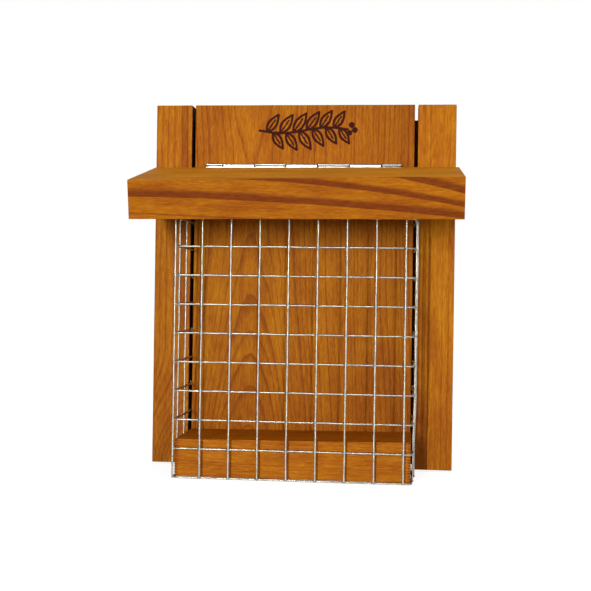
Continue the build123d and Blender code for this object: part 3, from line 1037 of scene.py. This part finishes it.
def build_metal():
    """The hinge, and the finishes of the CAD pieces that keep their own shape."""
    plated = zinc("plated_steel", (0.80, 0.79, 0.75), (0.70, 0.68, 0.63), 0.30, 0.15)
    pale = zinc("hinge_zinc", (0.40, 0.395, 0.37), (0.34, 0.335, 0.31), 0.34, 0.10)
    screws = zinc("screw_zinc", (0.72, 0.66, 0.48), (0.60, 0.54, 0.38), 0.32, 0.20)
    staple = zinc("staple_zinc", (0.26, 0.25, 0.23), (0.18, 0.17, 0.16), 0.45, 0.25)
    # Painted shade: the steel pin is made near black, so the gaps between the knuckles read as shade.
    pin = zinc("pin_steel_gap_shade", (0.10, 0.09, 0.08), (0.06, 0.05, 0.05), 0.40, 0.25)
    build_hinge(pale)
    choice = {
        "hinge_pin": pin,
        "hinge_fixed_leaf_screws": plated, "hinge_lid_leaf_screws": plated,
        "stile_screws": screws, "centre_board_screws": screws, "floor_block_screws": screws,
        "cage_staples_left": staple, "cage_staples_right": staple,
        "hanger_plate": plated, "hanger_screws": screws,
    }
    for node, material in choice.items():
        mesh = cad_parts[node].data
        mesh.materials.clear()
        mesh.materials.append(material)


# ---- studio -----------------------------------------------------------------------------------------------

# Each light: degrees to the left of the front, degrees above level, width and height in metres, watts
LIGHTS = {
    "key_strip": (10.2, 6.5, 0.04, 1.05, 64.0),
    "key_glow": (11.5, 6.0, 0.7, 1.3, 52.0),
    "side_panel": (-38.0, 5.0, 3.2, 1.9, 60.0),
}
LIGHT_DISTANCE = 4.0
AIM = bench(0, 0, 160)

AMBIENT = 0.23
AMBIENT_LEAST = 0.15
AMBIENT_TINT = (1.0, 0.86, 0.95, 1.0)
SKY_LEAN = (0.45, 0.0, 1.5)

FLOOR_RADIUS = 0.6
FLOOR_GAP = 0.0002
FLOOR_GREY = (0.35, 0.35, 0.35)
WHITE = (1.0, 1.0, 1.0)

CAMERA_PLACE = bench(92.6, -992.8, 161.0)
CAMERA_YAW, CAMERA_ROLL = 0.0993, 0.0146
CAMERA_LENS, CAMERA_SENSOR = 64.37, 36.0


def area_light(name, azimuth, elevation, width, height, power):
    lamp = bpy.data.lights.new(name, "AREA")
    lamp.shape = "RECTANGLE"
    lamp.size, lamp.size_y = width, height
    lamp.energy = power
    holder = bpy.data.objects.new(name, lamp)
    bpy.context.scene.collection.objects.link(holder)
    a, e = math.radians(azimuth), math.radians(elevation)
    towards = Vector((-math.sin(a) * math.cos(e), -math.cos(a) * math.cos(e), math.sin(e)))
    place = AIM + LIGHT_DISTANCE * towards
    holder.location = place
    holder.rotation_euler = (AIM - place).to_track_quat("-Z", "Y").to_euler()


def build_floor():
    """A bright white disc just under the feeder. Diffuse rays pass it by, so it barely lights the wood."""
    bm = bmesh.new()
    bmesh.ops.create_circle(bm, cap_ends=True, segments=96, radius=FLOOR_RADIUS)
    mesh = bpy.data.meshes.new("floor")
    bm.to_mesh(mesh)
    bm.free()
    floor = bpy.data.objects.new("floor", mesh)
    bpy.context.scene.collection.objects.link(floor)
    floor.location = (0, 0, cad_bounds[0][2] - FLOOR_GAP)
    floor.visible_diffuse = False
    g = Graph("pale_floor")
    mesh.materials.append(
        g.finish(Base_Color=FLOOR_GREY, Roughness=0.9, Emission_Color=WHITE, Emission_Strength=0.85)
    )


def build_sky():
    """White where the camera sees it. As light it is soft, tinted, and stronger from above and the right."""
    world = bpy.data.worlds.new("studio")
    bpy.context.scene.world = world
    world.use_nodes = True
    nodes, links = world.node_tree.nodes, world.node_tree.links
    background = nodes["Background"].inputs
    seen = nodes.new("ShaderNodeLightPath").outputs["Is Camera Ray"]

    lean = nodes.new("ShaderNodeVectorMath")
    lean.operation = "DOT_PRODUCT"
    lean.inputs[1].default_value = SKY_LEAN
    links.new(nodes.new("ShaderNodeTexCoord").outputs["Generated"], lean.inputs[0])
    sky = nodes.new("ShaderNodeMath")
    sky.operation = "MULTIPLY_ADD"
    sky.inputs[1].default_value = AMBIENT
    sky.inputs[2].default_value = AMBIENT
    links.new(lean.outputs["Value"], sky.inputs[0])
    least = nodes.new("ShaderNodeMath")
    least.operation = "MAXIMUM"
    least.inputs[1].default_value = AMBIENT_LEAST
    links.new(sky.outputs[0], least.inputs[0])

    strength = nodes.new("ShaderNodeMix")
    strength.inputs["B"].default_value = 1.0
    links.new(seen, strength.inputs["Factor"])
    links.new(least.outputs[0], strength.inputs["A"])
    links.new(strength.outputs["Result"], background["Strength"])

    tint = nodes.new("ShaderNodeMix")
    tint.data_type = "RGBA"
    tint.inputs["A"].default_value = AMBIENT_TINT
    tint.inputs["B"].default_value = (*WHITE, 1.0)
    links.new(seen, tint.inputs["Factor"])
    links.new(tint.outputs["Result"], background["Color"])


def build_studio():
    """Floor, sky and three lights: a narrow strip and a wider glow on the left, a panel on the right."""
    build_floor()
    build_sky()
    for name, light in LIGHTS.items():
        area_light(name, *light)


def build_camera():
    """In front at mid-height, right of the middle and turned back towards it, rolled by under a degree."""
    camera = bpy.data.cameras.new("camera")
    camera.sensor_width = CAMERA_SENSOR
    camera.lens = CAMERA_LENS
    holder = bpy.data.objects.new("camera", camera)
    bpy.context.scene.collection.objects.link(holder)
    ahead = Vector((-math.sin(CAMERA_YAW), math.cos(CAMERA_YAW), 0.0))
    level = Vector((math.cos(CAMERA_YAW), math.sin(CAMERA_YAW), 0.0))
    right = math.cos(CAMERA_ROLL) * level + math.sin(CAMERA_ROLL) * UPWARD
    top = -math.sin(CAMERA_ROLL) * level + math.cos(CAMERA_ROLL) * UPWARD
    turn = Matrix((right, top, -ahead)).transposed().to_4x4()
    holder.matrix_world = Matrix.Translation(CAMERA_PLACE) @ turn
    bpy.context.scene.camera = holder


build_centre_board()
build_side_boards()
build_battens()
build_block()
build_lid()
build_cage()
build_metal()
build_studio()
build_camera()
bpy.context.scene.view_settings.view_transform = "Standard"
